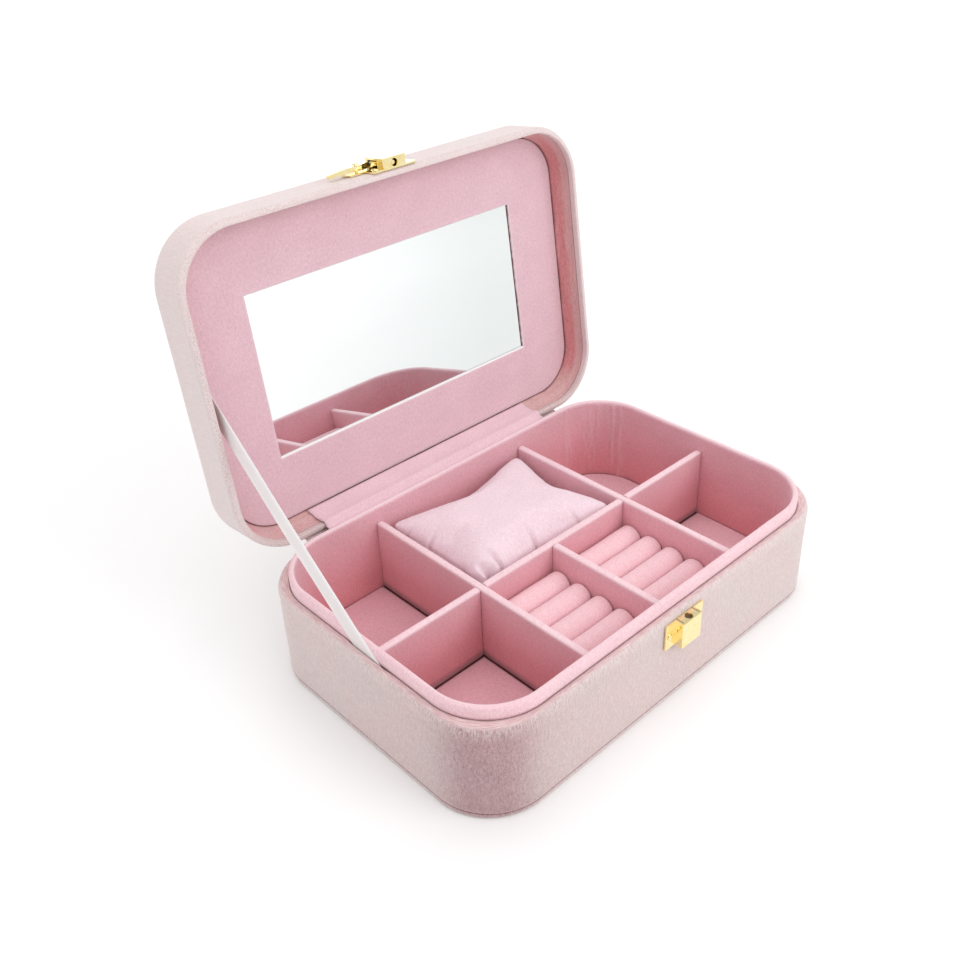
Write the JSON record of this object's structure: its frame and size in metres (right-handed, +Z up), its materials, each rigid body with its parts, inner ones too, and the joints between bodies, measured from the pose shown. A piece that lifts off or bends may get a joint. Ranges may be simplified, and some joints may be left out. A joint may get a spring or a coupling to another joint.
{
  "type": "travel jewelry case",
  "caption": "Rounded rectangular travel jewelry case in champagne velvet, lid open on a ribbon stay, with mirror, dividers, ring rolls, watch cushion and gold clasp.",
  "frame": {"origin": "centre of the base's underside, on the surface it stands on", "axes": "+X to the right along the front, +Y from the clasp towards the hinge, +Z up"},
  "size_m": [0.22, 0.191, 0.1969],
  "materials": {
    "base_bottom_cover": "pale textured paper over board",
    "base_floor_board": "grey board",
    "base_floor_pad": "brushed pink suede cloth over card",
    "base_velvet_wrap": "short champagne velvet",
    "base_wall_board": "grey board",
    "catch_bracket": "bright gold plate",
    "catch_rivet_left": "bright gold plate",
    "catch_rivet_right": "bright gold plate",
    "cross_divider_left": "brushed pink suede cloth over card",
    "cross_divider_middle": "brushed pink suede cloth over card",
    "cross_divider_right": "brushed pink suede cloth over card",
    "divider_left": "brushed pink suede cloth over card",
    "divider_right": "brushed pink suede cloth over card",
    "hinge_strip_inner": "brushed pink suede cloth over card",
    "hinge_strip_outer": "short champagne velvet",
    "latch_bolt": "bright gold plate",
    "latch_housing": "bright gold plate",
    "latch_lever": "bright gold plate",
    "latch_pivot_pin": "bright gold plate",
    "latch_rivet_left": "bright gold plate",
    "latch_rivet_right": "bright gold plate",
    "lid_liner_wall": "brushed pink suede cloth over card",
    "lid_top_board": "grey board",
    "lid_top_padding": "soft foam",
    "lid_velvet_wrap": "short champagne velvet",
    "lid_wall_board": "grey board",
    "liner_collar": "brushed pink suede cloth over card",
    "mirror_backing_board": "grey board",
    "mirror_glass": "silvered flat glass",
    "mirror_panel": "brushed pink suede cloth over card",
    "mirror_spacer_board": "grey board",
    "ring_bed_left": "soft foam",
    "ring_bed_right": "soft foam",
    "ring_divider": "brushed pink suede cloth over card",
    "ring_roll_left_1": "soft pink plush over foam",
    "ring_roll_left_2": "soft pink plush over foam",
    "ring_roll_left_3": "soft pink plush over foam",
    "ring_roll_left_4": "soft pink plush over foam",
    "ring_roll_left_5": "soft pink plush over foam",
    "ring_roll_right_1": "soft pink plush over foam",
    "ring_roll_right_2": "soft pink plush over foam",
    "ring_roll_right_3": "soft pink plush over foam",
    "ring_roll_right_4": "soft pink plush over foam",
    "ring_roll_right_5": "soft pink plush over foam",
    "stay_ribbon": "pale satin ribbon",
    "watch_cushion": "pale pink smooth suede cloth, stuffed"
  },
  "bodies": {
    "base": {"base_bottom_cover": "base_bottom_cover", "base_floor_board": "base_floor_board", "base_floor_pad": "base_floor_pad", "base_velvet_wrap": "base_velvet_wrap", "base_wall_board": "base_wall_board", "catch_bracket": "catch_bracket", "catch_rivet_left": "catch_rivet_left", "catch_rivet_right": "catch_rivet_right", "cross_divider_left": "cross_divider_left", "cross_divider_middle": "cross_divider_middle", "cross_divider_right": "cross_divider_right", "divider_left": "divider_left", "divider_right": "divider_right", "hinge_strip_inner": "hinge_strip_inner", "hinge_strip_outer": "hinge_strip_outer", "liner_collar": "liner_collar", "ring_bed_left": "ring_bed_left", "ring_bed_right": "ring_bed_right", "ring_divider": "ring_divider", "ring_roll_left_1": "ring_roll_left_1", "ring_roll_left_2": "ring_roll_left_2", "ring_roll_left_3": "ring_roll_left_3", "ring_roll_left_4": "ring_roll_left_4", "ring_roll_left_5": "ring_roll_left_5", "ring_roll_right_1": "ring_roll_right_1", "ring_roll_right_2": "ring_roll_right_2", "ring_roll_right_3": "ring_roll_right_3", "ring_roll_right_4": "ring_roll_right_4", "ring_roll_right_5": "ring_roll_right_5", "stay_ribbon": "stay_ribbon"},
    "lid": {"latch_housing": "latch_housing", "latch_pivot_pin": "latch_pivot_pin", "latch_rivet_left": "latch_rivet_left", "latch_rivet_right": "latch_rivet_right", "lid_liner_wall": "lid_liner_wall", "lid_top_board": "lid_top_board", "lid_top_padding": "lid_top_padding", "lid_velvet_wrap": "lid_velvet_wrap", "lid_wall_board": "lid_wall_board", "mirror_backing_board": "mirror_backing_board", "mirror_glass": "mirror_glass", "mirror_panel": "mirror_panel", "mirror_spacer_board": "mirror_spacer_board"},
    "latch_lever": {"latch_lever": "latch_lever"},
    "latch_bolt": {"latch_bolt": "latch_bolt"},
    "watch_cushion": {"watch_cushion": "watch_cushion"}
  },
  "joints": [
    {"name": "lid_hinge", "type": "hinge", "parent": "base", "child": "lid", "pos_m": [0, 0.0735, 0.0472], "axis": [1, 0, 0], "range_deg": [0, 97], "deforming": ["stay_ribbon", "hinge_strip_inner", "hinge_strip_outer"]},
    {"name": "latch_lever_turn", "type": "hinge", "parent": "lid", "child": "latch_lever", "pos_m": [-0.014, 0.1003, 0.19327], "axis": [0, -0.1219, -0.9925], "range_deg": [0, 23.9]},
    {"name": "latch_bolt_slide", "type": "slide", "parent": "lid", "child": "latch_bolt", "axis": [0, -0.9925, 0.1219], "range_m": [0, 0.0062]},
    {"name": "watch_cushion_lift", "type": "slide", "parent": "base", "child": "watch_cushion", "axis": [0, 0, 1], "range_m": [0, 0.01]}
  ],
  "couplings": [
    {"joint": "latch_bolt_slide", "follows": "latch_lever_turn", "m_per_rad": 0.014863}
  ]
}
